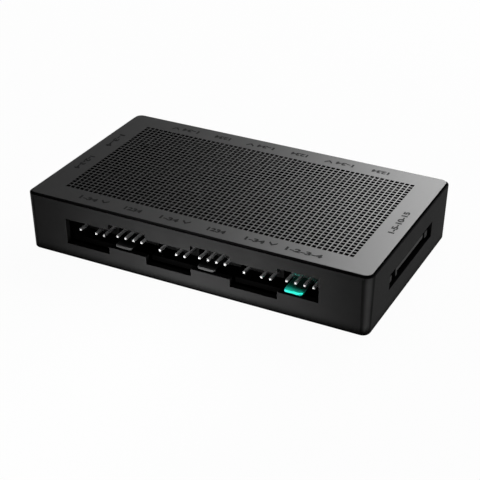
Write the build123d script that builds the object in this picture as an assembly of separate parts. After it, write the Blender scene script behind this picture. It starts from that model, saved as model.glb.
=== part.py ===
from build123d import *
import math
import os

# Fan and light hub of a desktop computer. A black tray holds a circuit board whose right-angle pin headers
# look out through windows in the walls: light and fan ports in turn along the front and the back, two
# signal inputs on the left and a flat power inlet on the right. A grille cover snaps into the tray's rim.
#
# Millimetres. The origin is under the middle of the base, +X runs along the hub towards the power inlet,
# -Y is the front and +Z is up. Each port is drawn in a wall frame: x along the wall to the right of someone
# who faces it, y into the hub from the rim's outline, z up from the base.

# Case, measured at the rim
case_length = 102.8
case_width = 60.0
case_height = 17.8
corner_radius = 2.6
wall_draft_angle = 1.52
base_edge_chamfer = 0.35
wall = 1.8
floor = 2.0
cavity_radius = 0.8

# Cover in its seat
cover_thickness = 1.45
cover_proud = 0.5
cover_lip = 0.45
cover_gap = 0.2
cover_edge_chamfer = 0.15
skirt_depth = 1.8
skirt_thickness = 1.2
skirt_gap = 0.25
skirt_inner_radius = 0.3

# Snap catches: hooks on the cover's skirt in pockets of the tray's walls
catch_width = 5.0
catch_reach = 0.55
catch_top_drop = 0.7
catch_flat = 0.3
catch_gap = 0.15
long_wall_catches = 3
long_wall_catch_pitch = 30.0

# Grille of square openings: bars along Y above, bars along X below, a hair apart
hole_pitch = 1.5
hole_size = 1.05
grille_margin_x = 7.4
grille_margin_y = 7.0
lower_bar_depth = 0.65
bar_spacing = 0.1

# Circuit board on its standoffs
board_thickness = 1.6
board_gap_x = 1.7
board_gap_y = 1.5
standoff_height = 2.0
standoff_radius = 2.5
standoff_inset = 31.4
board_radius = 1.5
board_rib = 1.2
board_rib_length = 72.0
board_rib_inset = 8.0

# Screws that hold the board
screw_radius = 1.1
screw_length = 3.2
screw_head_radius = 2.0
screw_head_height = 1.4
screw_end_gap = 0.3
thread_gap = 0.05
shank_gap = 0.2

# Bar magnets let into the base
magnet_length = 30.0
magnet_width = 10.0
magnet_thickness = 1.8
magnet_recess = 0.1
magnet_gap = 0.1
magnet_cover = 1.0
magnet_rim = 1.3
magnet_end_inset = 13.4

# Pins, shared by both kinds of port
pin_pitch = 2.54
pin_size = 0.64
pin_tip_chamfer = 0.16
positions = 4

# Light port: the second place has no pin
light_places = (0, 2, 3)
light_window_width = 13.77
light_window_below = 3.84
light_window_above = 3.83
light_pin_rise = 2.6
light_tip_recess = 2.5
light_reach = 6.0
light_base_depth = 2.54
light_base_above = 1.27
light_notch = 0.6
light_tail_back = 1.45

# Fan port: a locking tongue lies under the first pins
fan_places = (0, 1, 2, 3)
fan_window_width = 11.63
fan_window_below = 3.16
fan_window_above = 3.92
fan_pin_rise = 4.13
fan_tip_recess = 1.5
fan_reach = 7.0
fan_base_depth = 3.2
fan_base_above = 2.5
fan_tail_back = 1.5
tongue_offset = -1.66
tongue_width = 5.3
tongue_thickness = 0.8
tongue_drop = 2.23
tongue_recess = 1.0
tongue_corner_radius = 0.85

# Where the ports are
port_pairs = 3
port_row_offset = -0.75
input_light_y = 9.55
input_fan_y = -7.2

# Power inlet on the right wall
inlet_window_width = 32.1
inlet_window_rise = 1.15
inlet_window_height = 4.55
inlet_body_width = 29.2
inlet_body_recess = 5.4
inlet_body_depth = 4.5
inlet_body_rise = 5.4
blade_width = 20.6
blade_thickness = 1.2
blade_rise = 3.2
blade_recess = 0.8
blade_key_width = 1.2
blade_key_drop = 1.2
guide_width = 2.2
guide_rise = 1.8
guide_height = 1.9
guide_recess = 1.0
contact_count = 15
contact_pitch = 1.27
contact_width = 0.84
contact_thickness = 0.2
contact_setback = 0.9
contact_tail_back = 0.9

# Parts on the board
chip_length = 8.7
chip_width = 3.9
chip_height = 1.45
chip_standoff = 0.15
chip_chamfer = 0.25
chip_y = 5.2
lead_count = 7
lead_pitch = 1.27
lead_width = 0.4
lead_thickness = 0.2
lead_reach = 1.05
lead_foot = 0.6
can_radius = 3.15
can_height = 5.4
can_seat = 6.6
can_seat_height = 0.9
can_seat_chamfer = 1.2
can_gap = 2.8
can_spacing = 7.6
fuse_length = 4.5
fuse_width = 3.2
fuse_height = 0.8
fuse_chamfer = 0.2
fuse_gap = 2.95
small_chip_length = 2.0
small_chip_width = 1.25
small_chip_height = 0.55
small_chip_back = 2.4

# Worked out from the above
rim_height = case_height - cover_proud
seat_height = case_height - cover_thickness
board_bottom = floor + standoff_height
board_top = board_bottom + board_thickness
light_pin_height = board_top + light_pin_rise
fan_pin_height = board_top + fan_pin_rise
cover_inset = cover_lip + cover_gap
cover_length = case_length - 2 * cover_inset
cover_width = case_width - 2 * cover_inset
skirt_inset = wall + skirt_gap
skirt_bottom = seat_height - skirt_depth
bar_width = hole_pitch - hole_size
hole_columns = int((cover_length - 2 * grille_margin_x + bar_width) / hole_pitch)
hole_rows = int((cover_width - 2 * grille_margin_y + bar_width) / hole_pitch)
grille_length = hole_columns * hole_pitch - bar_width
grille_width = hole_rows * hole_pitch - bar_width
standoff_x = case_length / 2 - standoff_inset
magnet_x = case_length / 2 - magnet_end_inset - magnet_width / 2
contact_tail = inlet_body_recess + inlet_body_depth + contact_tail_back
can_x = case_length / 2 - contact_tail - can_gap - can_seat / 2
fuse_x = can_x - can_seat / 2 - fuse_gap - fuse_length / 2
pair_pitch = light_window_width + fan_window_width
row_start = port_row_offset - port_pairs * pair_pitch / 2
through = 2 * wall

walls = {
    "front": (0, case_width / 2),
    "right": (90, case_length / 2),
    "back": (180, case_width / 2),
    "left": (-90, case_length / 2),
}


def on_wall(side, along):
    """Place of a wall frame whose middle is at a distance along the wall."""
    angle, distance = walls[side]
    return Rot(0, 0, angle) * Pos(along, -distance, 0)


def wall_inset(height):
    """How far the drafted wall stands in from the rim's outline at a height."""
    return (rim_height - height) * math.tan(math.radians(wall_draft_angle))


def drafted(bottom, inset, radius):
    """A block up to the rim with the case's draft, moved in from the case's outline by an inset."""
    step = 2 * (inset + wall_inset(bottom))
    outline = RectangleRounded(case_length - step, case_width - step, radius)
    return extrude(Pos(0, 0, bottom) * outline, rim_height - bottom, taper=-wall_draft_angle)


def slab(length, width, radius, bottom, top):
    return extrude(Pos(0, 0, bottom) * RectangleRounded(length, width, radius), top - bottom)


def cylinder(radius, bottom, top):
    return extrude(Pos(0, 0, bottom) * Circle(radius), top - bottom)


def block(x_size, y_start, y_end, bottom, top):
    """A box centred on x in a wall frame, between two depths and two heights."""
    return extrude(Pos(0, (y_start + y_end) / 2, bottom) * Rectangle(x_size, y_end - y_start), top - bottom)


def profile(points, width):
    """An outline in depth and height, drawn out along the wall and centred on x."""
    return extrude(make_face(Plane.YZ * Polyline(points, close=True)), width / 2, both=True)


standoffs = [Pos(-standoff_x, 0, 0), Pos(standoff_x, 0, 0)]
magnet_places = [Pos(-magnet_x, 0, 0), Pos(magnet_x, 0, 0)]


def catch_places():
    """Wall place of each snap catch: a row along the front and the back, one in the middle of each end."""
    places = [on_wall("left", 0), on_wall("right", 0)]
    for index in range(long_wall_catches):
        along = (index - (long_wall_catches - 1) / 2) * long_wall_catch_pitch
        places += [on_wall("front", along), on_wall("back", along)]
    return places


def port_places():
    """Name, kind and wall place of each port."""
    ports = []
    for pair in range(port_pairs):
        light_x = row_start + pair * pair_pitch + light_window_width / 2
        fan_x = row_start + (pair + 1) * pair_pitch - fan_window_width / 2
        for side, direction in (("front", 1), ("back", -1)):
            ports.append((f"{side}_light_{pair + 1}", "light", on_wall(side, direction * light_x)))
            ports.append((f"{side}_fan_{pair + 1}", "fan", on_wall(side, direction * fan_x)))
    ports.append(("input_light", "light", on_wall("left", -input_light_y)))
    ports.append(("input_fan", "fan", on_wall("left", -input_fan_y)))
    return ports


ports = port_places()
catches = catch_places()
inlet_place = on_wall("right", 0)


def light_window():
    bottom = light_pin_height - light_window_below
    top = light_pin_height + light_window_above
    return block(light_window_width, -through, through, bottom, top)


def fan_window():
    bottom = fan_pin_height - fan_window_below
    top = fan_pin_height + fan_window_above
    return block(fan_window_width, -through, through, bottom, top)


def inlet_window():
    bottom = board_top + inlet_window_rise
    return block(inlet_window_width, -through, through, bottom, bottom + inlet_window_height)


def catch_hook():
    """A hook on the skirt: flat on top, sloping back to the skirt below."""
    top = seat_height - catch_top_drop
    tip = skirt_inset - catch_reach
    points = [
        (skirt_inset, top),
        (tip, top),
        (tip, top - catch_flat),
        (skirt_inset, skirt_bottom),
    ]
    return profile(points, catch_width)


def catch_pocket():
    """The space that a hook springs into, with a gap on every side."""
    return block(
        catch_width + 2 * catch_gap,
        skirt_inset - catch_reach - catch_gap,
        skirt_inset,
        skirt_bottom - catch_gap,
        seat_height - catch_top_drop + catch_gap,
    )


def magnet_slab(margin, bottom, top):
    """A bar magnet's outline, widened by a margin, between two heights."""
    outline = Rectangle(magnet_width + 2 * margin, magnet_length + 2 * margin)
    return extrude(Pos(0, 0, bottom) * outline, top - bottom)


def board_ribs():
    """Two ribs on the floor that carry the board's long edges under the headers."""
    rib = extrude(Pos(0, 0, floor) * Rectangle(board_rib_length, board_rib), standoff_height)
    y = case_width / 2 - board_rib_inset
    return [Pos(0, -y, 0) * rib, Pos(0, y, 0) * rib]


def case_tray():
    tray = drafted(0, 0, corner_radius - wall_inset(0))
    tray = chamfer(tray.edges().group_by(Axis.Z)[0], base_edge_chamfer)
    tray -= drafted(floor, wall, cavity_radius)
    seat_length = case_length - 2 * cover_lip
    seat_width = case_width - 2 * cover_lip
    tray -= slab(seat_length, seat_width, corner_radius - cover_lip, seat_height, case_height)

    magnet_ceiling = magnet_recess + magnet_thickness
    pad = magnet_slab(magnet_gap + magnet_rim, floor / 2, magnet_ceiling + magnet_cover)
    pocket = magnet_slab(magnet_gap, 0, magnet_ceiling)
    standoff = cylinder(standoff_radius, floor, board_bottom)
    pilot = cylinder(screw_radius + thread_gap, board_top - screw_length - screw_end_gap, board_bottom)
    tray += [place * pad for place in magnet_places]
    tray -= [place * pocket for place in magnet_places]
    tray += [place * standoff for place in standoffs] + board_ribs()
    tray -= [place * pilot for place in standoffs]
    tray -= [place * catch_pocket() for place in catches]

    windows = {"light": light_window(), "fan": fan_window()}
    for name, kind, place in ports:
        tray -= place * windows[kind]
    return tray - inlet_place * inlet_window()


def grille():
    """The openings: slots along Y through the upper bars, a hairline space, slots along X below."""
    columns_at = GridLocations(hole_pitch, hole_pitch, hole_columns, 1)
    rows_at = GridLocations(hole_pitch, hole_pitch, 1, hole_rows)
    upper_slots = Sketch() + columns_at * Rectangle(hole_size, grille_width)
    lower_slots = Sketch() + rows_at * Rectangle(grille_length, hole_size)
    lower_top = seat_height + lower_bar_depth
    upper_bottom = lower_top + bar_spacing
    cut = extrude(Pos(0, 0, upper_bottom) * upper_slots, case_height - upper_bottom)
    cut += extrude(Pos(0, 0, lower_top) * Rectangle(grille_length, grille_width), bar_spacing)
    cut += extrude(Pos(0, 0, seat_height) * lower_slots, lower_bar_depth)
    return cut


def skirt_slab(inset, radius):
    """The skirt's height of an outline moved in from the case's outline by an inset."""
    return slab(case_length - 2 * inset, case_width - 2 * inset, radius, skirt_bottom, seat_height)


def top_cover():
    cover = slab(cover_length, cover_width, corner_radius - cover_inset, seat_height, case_height)
    cover = chamfer(cover.edges().group_by(Axis.Z)[-1], cover_edge_chamfer)
    skirt = skirt_slab(skirt_inset, skirt_inner_radius + skirt_thickness)
    skirt -= skirt_slab(skirt_inset + skirt_thickness, skirt_inner_radius)
    cover += skirt
    cover += [place * catch_hook() for place in catches]
    return cover - grille()


def pins(places, height, tip, tail):
    """Right-angle square pins, straight out to their tips and down to their pads on the board."""
    half = pin_size / 2
    points = [
        (tip, height - half),
        (tail - half, height - half),
        (tail - half, board_top),
        (tail + half, board_top),
        (tail + half, height + half),
        (tip, height + half),
    ]
    pin = profile(points, pin_size)
    pin = chamfer(pin.faces().sort_by(Axis.Y)[0].edges(), pin_tip_chamfer)
    return [Pos(place_x(place), 0, 0) * pin for place in places]


def place_x(place):
    """Distance along the wall of one of the header's pin places."""
    return (place - (positions - 1) / 2) * pin_pitch


def light_tail():
    return light_tip_recess + light_reach + light_base_depth + light_tail_back


def fan_tail():
    return fan_tip_recess + fan_reach + fan_base_depth + fan_tail_back


def light_pins():
    return pins(light_places, light_pin_height, light_tip_recess, light_tail())


def fan_pins():
    return pins(fan_places, fan_pin_height, fan_tip_recess, fan_tail())


def light_header():
    """A plain pin strip with a notch between its places."""
    front = light_tip_recess + light_reach
    back = front + light_base_depth
    top = light_pin_height + light_base_above
    header = block(positions * pin_pitch, front, back, board_top, top)
    for gap in range(positions - 1):
        notch = Rot(0, 45, 0) * Box(light_notch, light_base_depth, light_notch)
        between = (place_x(gap) + place_x(gap + 1)) / 2
        header -= Pos(between, (front + back) / 2, top) * notch
    for pin in light_pins():
        header -= pin
    return header


def fan_header():
    """An upright base with the locking tongue reaching out under the pins."""
    front = fan_tip_recess + fan_reach
    back = front + fan_base_depth
    header = block(positions * pin_pitch, front, back, board_top, fan_pin_height + fan_base_above)
    tongue_top = fan_pin_height - tongue_drop
    tongue_bottom = tongue_top - tongue_thickness
    tongue = Pos(0, (tongue_recess + front) / 2) * Rectangle(tongue_width, front - tongue_recess)
    tongue = fillet(tongue.vertices().group_by(Axis.Y)[0], tongue_corner_radius)
    tongue = extrude(Pos(0, 0, tongue_bottom) * tongue, tongue_thickness)
    header += Pos(tongue_offset, 0, 0) * tongue
    for pin in fan_pins():
        header -= pin
    return header


def circuit_board():
    length = case_length - 2 * (wall + wall_inset(board_bottom) + board_gap_x)
    width = case_width - 2 * (wall + wall_inset(board_bottom) + board_gap_y)
    board = slab(length, width, board_radius, board_bottom, board_top)
    for place in standoffs:
        board -= place * cylinder(screw_radius + shank_gap, board_bottom, board_top)
    return board


def power_contacts():
    """Flat strips under the blade that run back through the body and down to the board."""
    top = board_top + blade_rise
    bottom = top - contact_thickness
    start = blade_recess + contact_setback
    points = [
        (start, top),
        (start, bottom),
        (contact_tail - contact_thickness, bottom),
        (contact_tail - contact_thickness, board_top),
        (contact_tail, board_top),
        (contact_tail, top),
    ]
    contact = profile(points, contact_width)
    middle = (contact_count - 1) / 2
    return [Pos((index - middle) * contact_pitch, 0, 0) * contact for index in range(contact_count)]


def power_inlet():
    """A body on the board with a keyed blade between two guides."""
    front = inlet_body_recess
    inlet = block(inlet_body_width, front, front + inlet_body_depth, board_top, board_top + inlet_body_rise)
    blade_bottom = board_top + blade_rise
    inlet += block(blade_width, blade_recess, front, blade_bottom, blade_bottom + blade_thickness)
    key = block(blade_key_width, blade_recess, front, blade_bottom - blade_key_drop, blade_bottom)
    inlet += Pos((blade_key_width - blade_width) / 2, 0, 0) * key
    guide_bottom = board_top + guide_rise
    guide = block(guide_width, guide_recess, front, guide_bottom, guide_bottom + guide_height)
    for direction in (-1, 1):
        inlet += Pos(direction * (inlet_body_width - guide_width) / 2, 0, 0) * guide
    for contact in power_contacts():
        inlet -= contact
    return inlet


def signal_chip():
    """A small chip body with bent leads along both long sides."""
    bottom = board_top + chip_standoff
    body = extrude(Pos(0, 0, bottom) * Rectangle(chip_length, chip_width), chip_height)
    chip = chamfer(body.edges().group_by(Axis.Z)[-1], chip_chamfer)
    lead_top = bottom + chip_height / 2
    edge = chip_width / 2
    out = edge + lead_reach
    lead = profile(
        [
            (edge, lead_top),
            (edge, lead_top - lead_thickness),
            (out - lead_foot, board_top),
            (out, board_top),
            (out, board_top + lead_thickness),
            (out - lead_foot + lead_thickness, board_top + lead_thickness),
        ],
        lead_width,
    )
    for index in range(lead_count):
        at = Pos((index - (lead_count - 1) / 2) * lead_pitch, 0, 0)
        chip += at * lead
        chip += Rot(0, 0, 180) * at * lead
    return chip


def bulk_capacitor():
    """A can on a square plastic seat with two cut corners."""
    seat = Rectangle(can_seat, can_seat)
    seat = chamfer(seat.vertices().group_by(Axis.X)[0], can_seat_chamfer)
    seat_top = board_top + can_seat_height
    can = cylinder(can_radius, seat_top, seat_top + can_height)
    return extrude(Pos(0, 0, board_top) * seat, can_seat_height) + can


def power_fuse():
    fuse = Pos(fuse_x, 0, board_top + fuse_height / 2) * Box(fuse_length, fuse_width, fuse_height)
    return chamfer(fuse.edges().group_by(Axis.Z)[-1], fuse_chamfer)


def small_chips(kind):
    """One small chip behind each header of a kind along the front and the back."""
    tail = light_tail() if kind == "light" else fan_tail()
    centre = Pos(0, tail + small_chip_back, board_top + small_chip_height / 2)
    chip = centre * Box(small_chip_length, small_chip_width, small_chip_height)
    return [place * chip for name, port_kind, place in ports if port_kind == kind and "input" not in name]


def board_screw():
    head = cylinder(screw_head_radius, board_top, board_top + screw_head_height)
    return head + cylinder(screw_radius, board_top - screw_length, board_top)


def magnet():
    return magnet_slab(0, magnet_recess, magnet_recess + magnet_thickness)


def port_nodes():
    """A header node and a pin node for each port; the last fan port of the front row is the main one."""
    headers = {"light": light_header(), "fan": fan_header()}
    pin_sets = {"light": light_pins(), "fan": fan_pins()}
    main_fan = f"front_fan_{port_pairs}"
    nodes = {}
    for name, kind, place in ports:
        node = "main_fan" if name == main_fan else name
        nodes[f"{node}_header"] = [place * headers[kind]]
        nodes[f"{node}_pins"] = [place * pin for pin in pin_sets[kind]]
    return nodes


def all_nodes():
    nodes = {
        "case_tray": [case_tray()],
        "top_cover": [top_cover()],
        "circuit_board": [circuit_board()],
        "power_inlet": [inlet_place * power_inlet()],
        "power_contacts": [inlet_place * contact for contact in power_contacts()],
        "fan_signal_chip": [Pos(0, -chip_y, 0) * signal_chip()],
        "light_signal_chip": [Pos(0, chip_y, 0) * signal_chip()],
        "bulk_capacitors": [Pos(can_x, y * can_spacing / 2, 0) * bulk_capacitor() for y in (-1, 1)],
        "power_fuse": [power_fuse()],
        "light_resistors": small_chips("light"),
        "fan_capacitors": small_chips("fan"),
        "board_screws": [place * board_screw() for place in standoffs],
        "base_magnets": [place * magnet() for place in magnet_places],
    }
    nodes.update(port_nodes())
    return nodes


os.makedirs("parts", exist_ok=True)
for node, pieces in all_nodes().items():
    shape = pieces[0] if len(pieces) == 1 else Compound(children=pieces)
    export_step(shape, f"parts/{node}.step")
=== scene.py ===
import math

import bmesh
import bpy
from mathutils import Matrix, Vector


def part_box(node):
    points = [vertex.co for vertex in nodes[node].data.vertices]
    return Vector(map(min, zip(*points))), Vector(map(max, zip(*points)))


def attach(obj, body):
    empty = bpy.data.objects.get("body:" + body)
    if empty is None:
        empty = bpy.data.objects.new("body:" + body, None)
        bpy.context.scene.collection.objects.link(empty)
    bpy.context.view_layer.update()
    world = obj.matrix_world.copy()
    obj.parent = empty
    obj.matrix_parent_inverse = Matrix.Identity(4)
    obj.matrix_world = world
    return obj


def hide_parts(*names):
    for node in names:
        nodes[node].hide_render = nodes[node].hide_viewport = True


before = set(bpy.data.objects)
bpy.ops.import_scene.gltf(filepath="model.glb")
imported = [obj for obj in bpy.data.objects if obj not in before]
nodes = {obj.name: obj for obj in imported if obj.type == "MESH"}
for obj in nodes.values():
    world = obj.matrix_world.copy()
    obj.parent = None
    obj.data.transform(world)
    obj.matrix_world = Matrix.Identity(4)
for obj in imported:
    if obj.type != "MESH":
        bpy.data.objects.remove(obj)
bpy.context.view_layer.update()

# Looks of the fan and light hub
# Lengths on the hub are in millimetres, and MM turns them into metres. Lengths on the stage are in metres.
MM = 0.001

# Camera of the photograph: where it stands in millimetres, which way it looks, its lens and its range
CAMERA_AT = (140.708, -275.287, 175.433)
CAMERA_AZIMUTH = 27.092
CAMERA_ELEVATION = 29.525
CAMERA_LENS = 93.11
CAMERA_SENSOR = 36
CAMERA_NEAR = 0.01
CAMERA_FAR = 20

# Cover: the box comes from the frame, the rest are its own sizes
COVER_LOW, COVER_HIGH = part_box("top_cover")
COVER_LENGTH = 101.5
COVER_WIDTH = 58.7
COVER_THICKNESS = 1.45
COVER_TOP = COVER_HIGH.z / MM
COVER_BOTTOM = COVER_TOP - COVER_THICKNESS
COVER_RADIUS = 1.95
COVER_ROUNDING = 0.15
ROUNDING_STEPS = 3
CORNER_STEPS = 10
HOLE_COLUMNS = 58
HOLE_ROWS = 30
HOLE_PITCH = 1.5
HOLE_SIZE = 1.05
HOLE_RIM = 0.05
GRILLE_HALF_LENGTH = HOLE_COLUMNS * HOLE_PITCH / 2
GRILLE_HALF_WIDTH = HOLE_ROWS * HOLE_PITCH / 2

# Finishes of the cover: their slots, and the lean and the height below which a face takes that of the sides
PLATE_SLOT = 0
SIDE_SLOT = 1
BARS_SLOT = 2
SIDE_NORMAL_Z = 0.8
SIDE_HEIGHT = COVER_TOP - 2 * COVER_ROUNDING

# Skirt and catches under the cover
SKIRT_BOTTOM = COVER_LOW.z / MM
SKIRT_LENGTH = 98.7
SKIRT_WIDTH = 55.9
SKIRT_THICKNESS = 1.2
SKIRT_RADIUS = 1.5
SKIRT_SINK = 0.2
CATCH_WIDTH = 5.0
CATCH_REACH = 0.55
CATCH_DROP = 0.7
CATCH_FLAT = 0.3
CATCH_X = (-30.0, 0.0, 30.0)

# Form of the printed marks
PRINT_HEIGHT = 1.8
PRINT_THICKNESS = 0.012
PRINT_SINK = 0.01
CHEVRON_WIDTH = 2.3
CHEVRON_HEIGHT = 1.15
CHEVRON_STROKE = 0.52

# Boldness and depth of the digits as shares of their font size, before they are drawn out to size
DIGIT_BOLDNESS = 0.045
DIGIT_DEPTH = 0.01

# Pin numbers, and how wide each is printed
LIGHT_MARK = "1-34"
FAN_MARK = "1234"
LONG_LIGHT_MARK = "1-3-4"
LONG_FAN_MARK = "1-2-3-4"
POWER_MARK = "1-5-10-15"
LIGHT_PRINT_WIDTH = 5.6
FAN_PRINT_WIDTH = 5.3
MAIN_PRINT_WIDTH = 10.2
INPUT_PRINT_WIDTH = 9.0
POWER_PRINT_WIDTH = 12.9

# Places of the printed marks along each wall, and their turn there in degrees
PORT_PAIRS = 3
PORT_PITCH = 25.4
FRONT_PRINT_Y = -25.85
FRONT_TURN = 0
FRONT_LIGHT_X = -33.4
FRONT_CHEVRON_X = -28.45
FRONT_FAN_X = -19.2
MAIN_PRINT_X = 31.3
BACK_PRINT_Y = 25.7
BACK_TURN = 180
BACK_LIGHT_X = -30.1
BACK_CHEVRON_X = -34.9
BACK_FAN_X = -19.1
RIGHT_PRINT_X = 47.2
RIGHT_TURN = 90
POWER_PRINT_Y = 0
LEFT_PRINT_X = -47.05
LEFT_TURN = -90
INPUT_LIGHT_Y = 9.55
INPUT_FAN_Y = -7.2

# Rounding of edges on carried-over solids
TRAY_ROUNDING = 0.12
HEADER_ROUNDING = 0.16
INLET_ROUNDING = 0.12
EDGE_SEGMENTS = 2
SHARP_ANGLE = 40.0
FLAT_ANGLE = 0.5
WELD_DISTANCE = 0.002

# Noise: the middle of its range, which a finish is spread over, and the form of clouds and grain
NOISE_MIDDLE = (0.3, 0.7)
CLOUD_PER_MM = 0.15
CLOUD_DETAIL = 4.0
GRAIN_DETAIL = 2.0

# Painted shade in recesses: how many rays test one, and what is left of a colour at its bottom
SIGHT_SAMPLES = 32
RECESS_SHADE_SHARE = 0.012

# The normal's z over which a face turns from a wall into a ledge, which takes painted shade
LEDGE_SHADE_NORMAL_Z = (0.3, 0.7)

# How far red, green and blue light wander through a glowing finish, as shares of the glow's length
GLOW_SHARES = (0.3, 1.0, 0.9)

# Painted highlight across an upright rounded corner, with painted dark bands beside it: square of the
# normal's x times y, then the share of the colour
CORNER_HIGHLIGHT = ((0.0, 0.9), (0.02, 0.4), (0.07, 0.6), (0.19, 2.0), (0.25, 2.6))

# Stage: the floor, the surround from the horizon up to the sky, and the lamps
FLOOR_RADIUS = 4.0
FLOOR_STEPS = 64
FLOOR_GREY = 0.55
FLOOR_WHITE_SHARE = 0.96
HORIZON_Z = 0.06
HORIZON_GREY = 1
SKY_Z = 0.20
SKY_GREY = 0.03
SOFTBOX_AIM = (0, 0, 0.01)
SPOT_AIM = (0.003, -0.03, -0.002)
SPOT_RADIUS = 0.03


def new_object(name, data):
    """A new object of the scene round a mesh, a curve, a lamp or a camera."""
    made = bpy.data.objects.new(name, data)
    bpy.context.scene.collection.objects.link(made)
    return made


def mesh_object(name, vertices, faces):
    """A piece from vertices in millimetres and its faces, with normals turned outwards."""
    mesh = bpy.data.meshes.new(name)
    mesh.from_pydata([Vector(v) * MM for v in vertices], [], faces)
    work = bmesh.new()
    work.from_mesh(mesh)
    bmesh.ops.recalc_face_normals(work, faces=work.faces)
    work.to_mesh(mesh)
    work.free()
    return new_object(name, mesh)


# Materials

def grey(value):
    return (value, value, value)


def combined(tree, operation, first, second):
    """Two numbers put together by a Math node."""
    node = tree.nodes.new("ShaderNodeMath")
    node.operation = operation
    tree.links.new(first, node.inputs[0])
    tree.links.new(second, node.inputs[1])
    return node.outputs[0]


def mapped(tree, source, source_range, target_range):
    """A number moved from one range into another."""
    node = tree.nodes.new("ShaderNodeMapRange")
    node.inputs["From Min"].default_value = source_range[0]
    node.inputs["From Max"].default_value = source_range[1]
    node.inputs["To Min"].default_value = target_range[0]
    node.inputs["To Max"].default_value = target_range[1]
    tree.links.new(source, node.inputs["Value"])
    return node.outputs["Result"]


def coordinate(tree, kind):
    """The x, y and z of a texture coordinate."""
    place = tree.nodes.new("ShaderNodeTexCoord")
    split = tree.nodes.new("ShaderNodeSeparateXYZ")
    tree.links.new(place.outputs[kind], split.inputs[0])
    return split.outputs


def noise(tree, per_mm, detail, stretch=(1, 1, 1)):
    """Noise in the object's own space; per_mm is how many features lie in a millimetre."""
    place = tree.nodes.new("ShaderNodeTexCoord")
    mapping = tree.nodes.new("ShaderNodeMapping")
    mapping.inputs["Scale"].default_value = [s / MM for s in stretch]
    texture = tree.nodes.new("ShaderNodeTexNoise")
    texture.inputs["Scale"].default_value = per_mm
    texture.inputs["Detail"].default_value = detail
    tree.links.new(place.outputs["Object"], mapping.inputs["Vector"])
    tree.links.new(mapping.outputs["Vector"], texture.inputs["Vector"])
    return texture.outputs["Fac"]


def tint(tree, source, dark, light):
    """A colour between two by a noise."""
    node = tree.nodes.new("ShaderNodeValToRGB")
    for stop, position, colour in zip(node.color_ramp.elements, NOISE_MIDDLE, (dark, light)):
        stop.position = position
        stop.color = (*colour, 1)
    tree.links.new(source, node.inputs["Fac"])
    return node.outputs["Color"]


def bump(tree, shader, source, depth_mm):
    """A relief of the given depth on a shader."""
    node = tree.nodes.new("ShaderNodeBump")
    node.inputs["Strength"].default_value = 1.0
    node.inputs["Distance"].default_value = depth_mm * MM
    tree.links.new(source, node.inputs["Height"])
    tree.links.new(node.outputs["Normal"], shader.inputs["Normal"])


def painted_shade(tree, colour, reach_mm, closed, clear, ledge_shade_share=1.0):
    """Painted shade: a colour darkened in recesses, where the surface sees little of its surroundings, and on
    ledges that face up.
    """
    sight = tree.nodes.new("ShaderNodeAmbientOcclusion")
    sight.samples = SIGHT_SAMPLES
    sight.inputs["Distance"].default_value = reach_mm * MM
    factor = mapped(tree, sight.outputs["AO"], (closed, clear), (RECESS_SHADE_SHARE, 1.0))
    if ledge_shade_share < 1.0:
        ledge_shade = mapped(tree, coordinate(tree, "Normal")["Z"], LEDGE_SHADE_NORMAL_Z, (1.0, ledge_shade_share))
        factor = combined(tree, "MULTIPLY", ledge_shade, factor)
    scaled = tree.nodes.new("ShaderNodeVectorMath")
    scaled.operation = "SCALE"
    tree.links.new(colour, scaled.inputs[0])
    tree.links.new(factor, scaled.inputs["Scale"])
    return scaled.outputs[0]


def painted_corner_highlight(tree, colour):
    """A colour with a painted highlight along the middle of upright rounded corners and painted shade near
    their edges.
    """
    normal = coordinate(tree, "Normal")
    turn = combined(tree, "MULTIPLY", normal["X"], normal["Y"])
    square = combined(tree, "MULTIPLY", turn, turn)
    ramp = tree.nodes.new("ShaderNodeValToRGB")
    for position, _ in CORNER_HIGHLIGHT[1:-1]:
        ramp.color_ramp.elements.new(position)
    for stop, (position, share) in zip(ramp.color_ramp.elements, CORNER_HIGHLIGHT):
        stop.position = position
        stop.color = (*grey(share), 1)
    tree.links.new(square, ramp.inputs["Fac"])
    scaled = tree.nodes.new("ShaderNodeVectorMath")
    scaled.operation = "MULTIPLY"
    tree.links.new(colour, scaled.inputs[0])
    tree.links.new(ramp.outputs["Color"], scaled.inputs[1])
    return scaled.outputs[0]


def finish_of(name, dark, light, rough, grain_per_mm, grain_depth, metallic=0.0, specular=0.5,
              stretch=(1, 1, 1), recess_shade=None, glow_mm=None, corner_highlight=False):
    """A surface with clouded colour, uneven gloss and a fine grain; painted shade in recesses and a painted
    highlight on rounded corners can be laid on its colour; a glow lets light wander through it.
    """
    made = bpy.data.materials.new(name)
    made.use_nodes = True
    tree = made.node_tree
    shader = tree.nodes["Principled BSDF"]
    shader.inputs["Metallic"].default_value = metallic
    shader.inputs["Specular IOR Level"].default_value = specular
    cloud = noise(tree, CLOUD_PER_MM, CLOUD_DETAIL)
    grain = noise(tree, grain_per_mm, GRAIN_DETAIL, stretch)
    colour = tint(tree, cloud, dark, light)
    if recess_shade is not None:
        colour = painted_shade(tree, colour, **recess_shade)
    if corner_highlight:
        colour = painted_corner_highlight(tree, colour)
    if glow_mm is not None:
        shader.inputs["Subsurface Weight"].default_value = 1.0
        shader.inputs["Subsurface Radius"].default_value = GLOW_SHARES
        shader.inputs["Subsurface Scale"].default_value = glow_mm * MM
    tree.links.new(colour, shader.inputs["Base Color"])
    tree.links.new(mapped(tree, grain, NOISE_MIDDLE, rough), shader.inputs["Roughness"])
    bump(tree, shader, grain, grain_depth)
    return made


# Black tray: its colour takes painted shade in recesses and on up-facing ledges, and a painted highlight
# along its upright corners.
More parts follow.
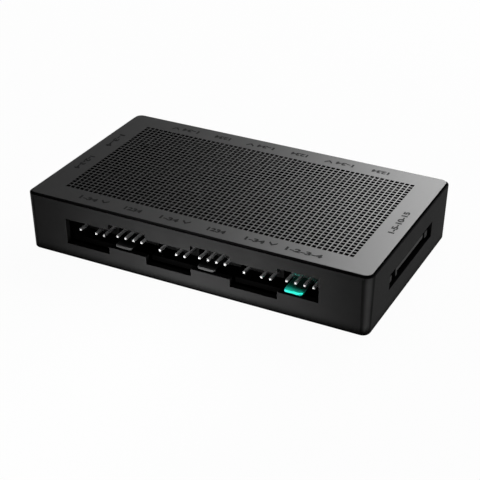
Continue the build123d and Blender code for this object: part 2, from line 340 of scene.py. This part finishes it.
tray_black = finish_of(
    "tray_black", grey(0.0165), grey(0.0195), rough=(0.50, 0.62), grain_per_mm=5.0, grain_depth=0.006,
    specular=0.01, recess_shade=dict(reach_mm=6, closed=0.55, clear=0.76, ledge_shade_share=0.08), corner_highlight=True)
plate_look = dict(
    dark=grey(0.013), light=grey(0.015), rough=(0.335, 0.36), grain_per_mm=6.0, grain_depth=0.0006)
cover_grey = finish_of("cover_grey", **plate_look, specular=0.5)
cover_bars = finish_of("cover_bars", **plate_look, specular=0.68)
# Near-black sides, hole walls and underside of the cover: partly a darker body colour under the plate's face,
# partly painted shade that keeps the seam round the plate and the walls of the holes dark.
cover_side = finish_of(
    "cover_side", grey(0.002), grey(0.003), rough=(0.6, 0.7), grain_per_mm=5.0, grain_depth=0.004,
    specular=0.01)
# Black headers: their colour takes painted shade in recesses.
header_black = finish_of(
    "header_black", grey(0.036), grey(0.042), rough=(0.35, 0.5), grain_per_mm=4.0, grain_depth=0.004,
    specular=0.1, recess_shade=dict(reach_mm=12, closed=0.45, clear=0.68))
# Teal header: its colour takes painted shade in recesses, so the teal fades to dark green deeper inside the
# window.
header_teal = finish_of(
    "header_teal", (0.02, 0.68, 0.49), (0.03, 0.76, 0.55), rough=(0.3, 0.45), grain_per_mm=4.0,
    grain_depth=0.003, specular=0.2, recess_shade=dict(reach_mm=12, closed=0.36, clear=0.51), glow_mm=2.2)
pin_metal = finish_of(
    "pin_metal", grey(0.86), grey(0.92), rough=(0.42, 0.55), grain_per_mm=3.0, grain_depth=0.002,
    metallic=1.0)
# Power inlet: its colour takes painted shade in recesses.
inlet_black = finish_of(
    "inlet_black", grey(0.012), grey(0.016), rough=(0.4, 0.55), grain_per_mm=4.0, grain_depth=0.004,
    specular=0.05, recess_shade=dict(reach_mm=8, closed=0.3, clear=0.8))
contact_gold = finish_of(
    "contact_gold", (0.80, 0.52, 0.20), (0.88, 0.60, 0.27), rough=(0.2, 0.34), grain_per_mm=4.0,
    grain_depth=0.001, metallic=1.0)
# Circuit board: its colour takes painted shade in recesses.
board_black = finish_of(
    "board_black", grey(0.002), grey(0.003), rough=(0.45, 0.6), grain_per_mm=1.2, grain_depth=0.01,
    specular=0.02, recess_shade=dict(reach_mm=12, closed=0.5, clear=0.95))
chip_black = finish_of(
    "chip_black", grey(0.014), grey(0.02), rough=(0.5, 0.65), grain_per_mm=8.0, grain_depth=0.003,
    specular=0.35)
can_metal = finish_of(
    "can_metal", grey(0.66), grey(0.74), rough=(0.22, 0.36), grain_per_mm=4.0, grain_depth=0.002,
    metallic=1.0, stretch=(1, 1, 0.1))
chip_grey = finish_of(
    "chip_grey", (0.30, 0.27, 0.23), (0.38, 0.34, 0.29), rough=(0.4, 0.55), grain_per_mm=5.0,
    grain_depth=0.003)
screw_steel = finish_of(
    "screw_steel", grey(0.5), grey(0.6), rough=(0.25, 0.4), grain_per_mm=3.0, grain_depth=0.003,
    metallic=1.0)
magnet_nickel = finish_of(
    "magnet_nickel", grey(0.58), grey(0.66), rough=(0.18, 0.32), grain_per_mm=2.0, grain_depth=0.002,
    metallic=1.0)
print_black = finish_of(
    "print_black", grey(0.004), grey(0.006), rough=(0.42, 0.5), grain_per_mm=6.0, grain_depth=0.001,
    specular=0.05)


# Cover

def rounded_outline(length, width, radius, along_x, along_y):
    """Points round a rounded rectangle: the given stations on its straight sides and arcs at its corners."""
    x_end = length / 2 - radius
    y_end = width / 2 - radius
    points = [(x, -width / 2) for x in along_x]
    corners = (
        (x_end, -y_end, -90, [(length / 2, y) for y in along_y]),
        (x_end, y_end, 0, [(x, width / 2) for x in reversed(along_x)]),
        (-x_end, y_end, 90, [(-length / 2, y) for y in reversed(along_y)]),
        (-x_end, -y_end, 180, []),
    )
    for centre_x, centre_y, start, side_after in corners:
        for step in range(CORNER_STEPS + 1):
            angle = math.radians(start + 90 * step / CORNER_STEPS)
            points.append((centre_x + radius * math.cos(angle), centre_y + radius * math.sin(angle)))
        points += side_after
    return points


def hole_lines(count, margin):
    """Edges of a row of holes, each widened by a margin."""
    start = -(count - 1) * HOLE_PITCH / 2
    lines = []
    for index in range(count):
        centre = start + index * HOLE_PITCH
        lines += [centre - HOLE_SIZE / 2 - margin, centre + HOLE_SIZE / 2 + margin]
    return lines


def cover_mesh():
    """The plate as one closed skin, rounded at its rim and chamfered at each of its square openings."""
    vertices = []
    faces = []

    def add(points, z):
        first = len(vertices)
        vertices.extend((x, y, z) for x, y in points)
        return first

    def lattice(margin, z):
        """A level of the plate: the grid of lines that the openings stand between."""
        xs = hole_lines(HOLE_COLUMNS, margin)
        ys = hole_lines(HOLE_ROWS, margin)
        first = add([(x, y) for y in ys for x in xs], z)
        return xs, ys, lambda i, j: first + j * len(xs) + i

    top_x, top_y, top = lattice(HOLE_RIM, COVER_TOP)
    _, _, low = lattice(0, COVER_TOP - HOLE_RIM)
    under_x, under_y, under = lattice(0, COVER_BOTTOM)
    columns = len(top_x)
    rows = len(top_y)

    for level in (top, under):
        for j in range(rows - 1):
            for i in range(columns - 1):
                if i % 2 == 0 and j % 2 == 0:
                    continue
                faces.append([level(i, j), level(i + 1, j), level(i + 1, j + 1), level(i, j + 1)])
    for upper, lower in ((top, low), (low, under)):
        for j in range(0, rows, 2):
            for i in range(0, columns, 2):
                ring = [(i, j), (i + 1, j), (i + 1, j + 1), (i, j + 1)]
                for (a, b), (c, d) in zip(ring, ring[1:] + ring[:1]):
                    faces.append([upper(a, b), upper(c, d), lower(c, d), lower(a, b)])

    rings = []
    for step in range(ROUNDING_STEPS + 1):
        angle = math.radians(90 * step / ROUNDING_STEPS)
        inset = COVER_ROUNDING * (1 - math.sin(angle))
        z = COVER_TOP - COVER_ROUNDING * (1 - math.cos(angle))
        outline = rounded_outline(
            COVER_LENGTH - 2 * inset, COVER_WIDTH - 2 * inset, COVER_RADIUS - inset, top_x, top_y)
        rings.append(add(outline, z))
    outline = rounded_outline(COVER_LENGTH, COVER_WIDTH, COVER_RADIUS, under_x, under_y)
    rings.append(add(outline, COVER_BOTTOM))
    count = len(outline)
    for upper, lower in zip(rings, rings[1:]):
        for k in range(count):
            n = (k + 1) % count
            faces.append([upper + k, upper + n, lower + n, lower + k])

    corner = CORNER_STEPS + 1
    for level, front in ((top, rings[0]), (under, rings[-1])):
        right = front + columns + corner
        back = right + rows + corner
        left = back + columns + corner
        for i in range(columns - 1):
            faces.append([front + i, front + i + 1, level(i + 1, 0), level(i, 0)])
            b = back + columns - 1 - i
            faces.append([level(i, rows - 1), level(i + 1, rows - 1), b - 1, b])
        for j in range(rows - 1):
            faces.append([level(columns - 1, j), right + j, right + j + 1, level(columns - 1, j + 1)])
            a = left + rows - 1 - j
            faces.append([a, level(0, j), level(0, j + 1), a - 1])
        last = left + rows + corner - 1
        corners = (
            (level(columns - 1, 0), range(front + columns - 1, right + 1)),
            (level(columns - 1, rows - 1), range(right + rows - 1, back + 1)),
            (level(0, rows - 1), range(back + columns - 1, left + 1)),
            (level(0, 0), [*range(left + rows - 1, last + 1), front]),
        )
        for inner, arc in corners:
            faces.append([inner, *arc])
    return vertices, faces


def skirt_mesh():
    """The skirt under the plate, a closed ring that ends inside the plate."""
    vertices = []
    faces = []
    rings = []
    top = COVER_BOTTOM + SKIRT_SINK
    for inset, z in ((0, SKIRT_BOTTOM), (0, top), (SKIRT_THICKNESS, top), (SKIRT_THICKNESS, SKIRT_BOTTOM)):
        outline = rounded_outline(
            SKIRT_LENGTH - 2 * inset, SKIRT_WIDTH - 2 * inset, SKIRT_RADIUS - inset, [], [])
        rings.append(len(vertices))
        vertices.extend((x, y, z) for x, y in outline)
    count = len(outline)
    for a, b in zip(rings, rings[1:] + rings[:1]):
        for k in range(count):
            n = (k + 1) % count
            faces.append([a + k, a + n, b + n, b + k])
    return vertices, faces


def catch_mesh(turn, distance, along):
    """A catch on the skirt's outer face: flat on top, sloping back below."""
    top = COVER_BOTTOM - CATCH_DROP
    sunk = distance - SKIRT_SINK
    outline = [
        (sunk, top), (distance + CATCH_REACH, top), (distance + CATCH_REACH, top - CATCH_FLAT),
        (distance, SKIRT_BOTTOM), (sunk, SKIRT_BOTTOM),
    ]
    spin = Matrix.Rotation(math.radians(turn), 3, "Z")
    vertices = []
    for side in (-1, 1):
        vertices += [spin @ Vector((along + side * CATCH_WIDTH / 2, -out, z)) for out, z in outline]
    count = len(outline)
    faces = [list(range(count)), list(range(2 * count - 1, count - 1, -1))]
    for k in range(count):
        n = (k + 1) % count
        faces.append([k, count + k, count + n, n])
    return vertices, faces


def cover_slot(face):
    """Slot of the finish that a face of the cover takes."""
    if face.normal.z < SIDE_NORMAL_Z or face.center.z < SIDE_HEIGHT * MM:
        return SIDE_SLOT
    in_length = abs(face.center.x) < GRILLE_HALF_LENGTH * MM
    in_width = abs(face.center.y) < GRILLE_HALF_WIDTH * MM
    return BARS_SLOT if in_length and in_width else PLATE_SLOT


def make_cover():
    """The cover as one piece: the plate, the skirt and its eight catches."""
    parts = [cover_mesh(), skirt_mesh()]
    for turn in (0, 180):
        parts += [catch_mesh(turn, SKIRT_WIDTH / 2, x) for x in CATCH_X]
    parts += [catch_mesh(turn, SKIRT_LENGTH / 2, 0) for turn in (90, -90)]
    vertices = []
    faces = []
    for part_vertices, part_faces in parts:
        first = len(vertices)
        vertices += part_vertices
        faces += [[first + k for k in face] for face in part_faces]
    cover = mesh_object("grille_cover", vertices, faces)
    for finish in (cover_grey, cover_side, cover_bars):
        cover.data.materials.append(finish)
    for face in cover.data.polygons:
        face.material_index = cover_slot(face)
    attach(cover, "root")
    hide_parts("top_cover")


make_cover()


# Printed marks

def place_print(name, mesh, x, y, turn):
    """A printed mark on top of the cover."""
    place = Matrix.Translation(Vector((x, y, COVER_TOP)) * MM)
    mesh.transform(place @ Matrix.Rotation(math.radians(turn), 4, "Z"))
    mesh.materials.append(print_black)
    piece = new_object(name, mesh)
    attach(piece, "root")


def number_mesh(text, width):
    """Digits as a thin mesh, as high as the print and drawn out to a width, centred on its place."""
    curve = bpy.data.curves.new("digits", "FONT")
    curve.body = text
    curve.size = 1
    curve.extrude = DIGIT_DEPTH
    curve.offset = DIGIT_BOLDNESS
    holder = new_object("digits", curve)
    bpy.context.view_layer.update()
    mesh = bpy.data.meshes.new_from_object(holder.evaluated_get(bpy.context.evaluated_depsgraph_get()))
    bpy.data.objects.remove(holder)
    bpy.data.curves.remove(curve)
    low = [min(v.co[k] for v in mesh.vertices) for k in range(3)]
    high = [max(v.co[k] for v in mesh.vertices) for k in range(3)]
    sizes = (width, PRINT_HEIGHT, PRINT_THICKNESS + PRINT_SINK)
    middle = (0, 0, (PRINT_THICKNESS - PRINT_SINK) / 2)
    for vertex in mesh.vertices:
        for k in range(3):
            share = (vertex.co[k] - (low[k] + high[k]) / 2) / (high[k] - low[k])
            vertex.co[k] = (middle[k] + share * sizes[k]) * MM
    return mesh


def chevron_mesh():
    """A small open arrowhead that points at the port."""
    half = CHEVRON_WIDTH / 2
    low = -CHEVRON_HEIGHT / 2
    high = CHEVRON_HEIGHT / 2
    rise = CHEVRON_STROKE * math.hypot(half, CHEVRON_HEIGHT) / half
    outline = [
        (-half, high), (0, low), (half, high),
        (half, high + rise), (0, low + rise), (-half, high + rise),
    ]
    vertices = [(x, y, z) for z in (-PRINT_SINK, PRINT_THICKNESS) for x, y in outline]
    count = len(outline)
    faces = []
    for first, flip in ((0, True), (count, False)):
        for quad in ([0, 1, 4, 5], [1, 2, 3, 4]):
            face = [first + k for k in quad]
            faces.append(face[::-1] if flip else face)
    for k in range(count):
        n = (k + 1) % count
        faces.append([k, n, count + n, count + k])
    mesh = bpy.data.meshes.new("chevron")
    mesh.from_pydata([Vector(v) * MM for v in vertices], [], faces)
    return mesh


def print_front(name, mesh, x):
    place_print(name, mesh, x, FRONT_PRINT_Y, FRONT_TURN)


def print_back(name, mesh, x):
    place_print(name, mesh, x, BACK_PRINT_Y, BACK_TURN)


def print_left(name, mesh, y):
    place_print(name, mesh, LEFT_PRINT_X, y, LEFT_TURN)


def print_right(name, mesh, y):
    place_print(name, mesh, RIGHT_PRINT_X, y, RIGHT_TURN)


for pair in range(PORT_PAIRS):
    shift = pair * PORT_PITCH
    number = pair + 1
    print_front(
        f"front_light_{number}_number", number_mesh(LIGHT_MARK, LIGHT_PRINT_WIDTH), FRONT_LIGHT_X + shift)
    print_front(f"front_light_{number}_arrow", chevron_mesh(), FRONT_CHEVRON_X + shift)
    if number < PORT_PAIRS:
        print_front(
            f"front_fan_{number}_number", number_mesh(FAN_MARK, FAN_PRINT_WIDTH), FRONT_FAN_X + shift)
    print_back(
        f"back_light_{number}_number", number_mesh(LIGHT_MARK, LIGHT_PRINT_WIDTH), BACK_LIGHT_X + shift)
    print_back(f"back_light_{number}_arrow", chevron_mesh(), BACK_CHEVRON_X + shift)
    print_back(f"back_fan_{number}_number", number_mesh(FAN_MARK, FAN_PRINT_WIDTH), BACK_FAN_X + shift)
print_front("main_fan_number", number_mesh(LONG_FAN_MARK, MAIN_PRINT_WIDTH), MAIN_PRINT_X)
print_right("power_number", number_mesh(POWER_MARK, POWER_PRINT_WIDTH), POWER_PRINT_Y)
print_left("input_light_number", number_mesh(LONG_LIGHT_MARK, INPUT_PRINT_WIDTH), INPUT_LIGHT_Y)
print_left("input_fan_number", number_mesh(LONG_FAN_MARK, INPUT_PRINT_WIDTH), INPUT_FAN_Y)


# Carried-over solids

def dress(node, material, rounding=None):
    """Gives a carried-over solid its material and, where it shows, rounded edges."""
    piece = nodes[node]
    piece.data.materials.clear()
    piece.data.materials.append(material)
    if rounding is None:
        return
    weld = piece.modifiers.new("weld", "WELD")
    weld.merge_threshold = WELD_DISTANCE * MM
    flat = piece.modifiers.new("flat_faces", "DECIMATE")
    flat.decimate_type = "DISSOLVE"
    flat.angle_limit = math.radians(FLAT_ANGLE)
    edge = piece.modifiers.new("rounding", "BEVEL")
    edge.width = rounding * MM
    edge.segments = EDGE_SEGMENTS
    edge.limit_method = "ANGLE"
    edge.angle_limit = math.radians(SHARP_ANGLE)
    edge.harden_normals = True
    edge.use_clamp_overlap = False


for node in nodes:
    if node.endswith("_header"):
        dress(node, header_teal if node == "main_fan_header" else header_black, HEADER_ROUNDING)
    if node.endswith("_pins"):
        dress(node, pin_metal)
dress("case_tray", tray_black, TRAY_ROUNDING)
dress("power_inlet", inlet_black, INLET_ROUNDING)
dress("power_contacts", contact_gold)
dress("circuit_board", board_black)
dress("fan_signal_chip", chip_black)
dress("light_signal_chip", chip_black)
dress("bulk_capacitors", can_metal)
dress("power_fuse", chip_grey)
dress("light_resistors", chip_black)
dress("fan_capacitors", chip_grey)
dress("board_screws", screw_steel)
dress("base_magnets", magnet_nickel)


# Stage, light and camera

def make_floor():
    """A pale floor that shows white and still takes the hub's shadow."""
    mesh = bpy.data.meshes.new("floor")
    ring = [2 * math.pi * k / FLOOR_STEPS for k in range(FLOOR_STEPS)]
    mesh.from_pydata(
        [(FLOOR_RADIUS * math.cos(a), FLOOR_RADIUS * math.sin(a), 0) for a in ring], [],
        [list(range(FLOOR_STEPS))])
    floor = new_object("floor", mesh)
    made = bpy.data.materials.new("floor_white")
    made.use_nodes = True
    tree = made.node_tree
    tree.nodes.clear()
    output = tree.nodes.new("ShaderNodeOutputMaterial")
    mix = tree.nodes.new("ShaderNodeMixShader")
    diffuse = tree.nodes.new("ShaderNodeBsdfDiffuse")
    diffuse.inputs["Color"].default_value = (*grey(FLOOR_GREY), 1)
    white = tree.nodes.new("ShaderNodeEmission")
    path = tree.nodes.new("ShaderNodeLightPath")
    seen = path.outputs["Is Camera Ray"]
    for ray in ("Is Glossy Ray", "Is Transmission Ray"):
        seen = combined(tree, "MAXIMUM", seen, path.outputs[ray])
    share = tree.nodes.new("ShaderNodeMath")
    share.operation = "MULTIPLY"
    share.inputs[1].default_value = FLOOR_WHITE_SHARE
    tree.links.new(seen, share.inputs[0])
    tree.links.new(share.outputs[0], mix.inputs["Fac"])
    tree.links.new(diffuse.outputs[0], mix.inputs[1])
    tree.links.new(white.outputs[0], mix.inputs[2])
    tree.links.new(mix.outputs[0], output.inputs["Surface"])
    floor.data.materials.append(made)


def make_world():
    """Soft studio surround: white at the horizon, dim above."""
    world = bpy.data.worlds.new("studio")
    bpy.context.scene.world = world
    world.use_nodes = True
    tree = world.node_tree
    ramp = tree.nodes.new("ShaderNodeValToRGB")
    levels = ((HORIZON_Z, HORIZON_GREY), (SKY_Z, SKY_GREY))
    for stop, (position, level) in zip(ramp.color_ramp.elements, levels):
        stop.position = position
        stop.color = (*grey(level), 1)
    background = tree.nodes["Background"]
    background.inputs["Strength"].default_value = 1.0
    tree.links.new(coordinate(tree, "Generated")["Z"], ramp.inputs["Fac"])
    tree.links.new(ramp.outputs["Color"], background.inputs["Color"])


def outwards(azimuth, elevation):
    """The way from the hub to a place on a dome round it: azimuth 0 is in front, 90 to the right."""
    a = math.radians(azimuth)
    e = math.radians(elevation)
    return Vector((math.sin(a) * math.cos(e), -math.cos(a) * math.cos(e), math.sin(e)))


def hang(name, lamp, azimuth, elevation, distance, aim):
    """Hangs a lamp on the dome and turns it to the point that it aims at."""
    out = outwards(azimuth, elevation)
    holder = new_object(name, lamp)
    holder.location = Vector(aim) + out * distance
    holder.rotation_euler = (-out).to_track_quat("-Z", "Y").to_euler()


def softbox(name, azimuth, elevation, distance, width, height, power):
    """A large soft lamp that aims at the hub's middle."""
    lamp = bpy.data.lights.new(name, "AREA")
    lamp.shape = "RECTANGLE"
    lamp.size = width
    lamp.size_y = height
    lamp.energy = power
    hang(name, lamp, azimuth, elevation, distance, SOFTBOX_AIM)


def spot(name, azimuth, elevation, distance, cone, power):
    """A narrow lamp with a soft edge that aims just under the foot of the front wall."""
    lamp = bpy.data.lights.new(name, "SPOT")
    lamp.energy = power
    lamp.spot_size = math.radians(cone)
    lamp.spot_blend = 1.0
    lamp.shadow_soft_size = SPOT_RADIUS
    hang(name, lamp, azimuth, elevation, distance, SPOT_AIM)


def make_camera():
    """The camera of the photograph."""
    lens = bpy.data.cameras.new("photo_camera")
    lens.sensor_width = CAMERA_SENSOR
    lens.lens = CAMERA_LENS
    lens.clip_start = CAMERA_NEAR
    lens.clip_end = CAMERA_FAR
    camera = new_object("photo_camera", lens)
    back = outwards(CAMERA_AZIMUTH, CAMERA_ELEVATION)
    camera.location = Vector(CAMERA_AT) * MM
    camera.rotation_mode = "QUATERNION"
    camera.rotation_quaternion = (-back).to_track_quat("-Z", "Y")
    bpy.context.scene.camera = camera


make_floor()
make_world()
spot("front_spot", azimuth=0, elevation=9, distance=0.6, cone=7.4, power=59.0)
softbox("back_softbox", azimuth=172, elevation=35, distance=1.0, width=0.9, height=0.67, power=11.2)
softbox("left_softbox", azimuth=-85, elevation=40, distance=1.2, width=0.8, height=0.5, power=2.8)
softbox("right_softbox", azimuth=120, elevation=40, distance=1.2, width=0.8, height=0.5, power=3.0)
softbox("front_softbox", azimuth=27, elevation=42, distance=1.2, width=0.8, height=0.5, power=1.9)
softbox("top_softbox", azimuth=0, elevation=88, distance=1.0, width=0.8, height=0.6, power=1.3)
make_camera()
bpy.context.scene.view_settings.view_transform = "Standard"
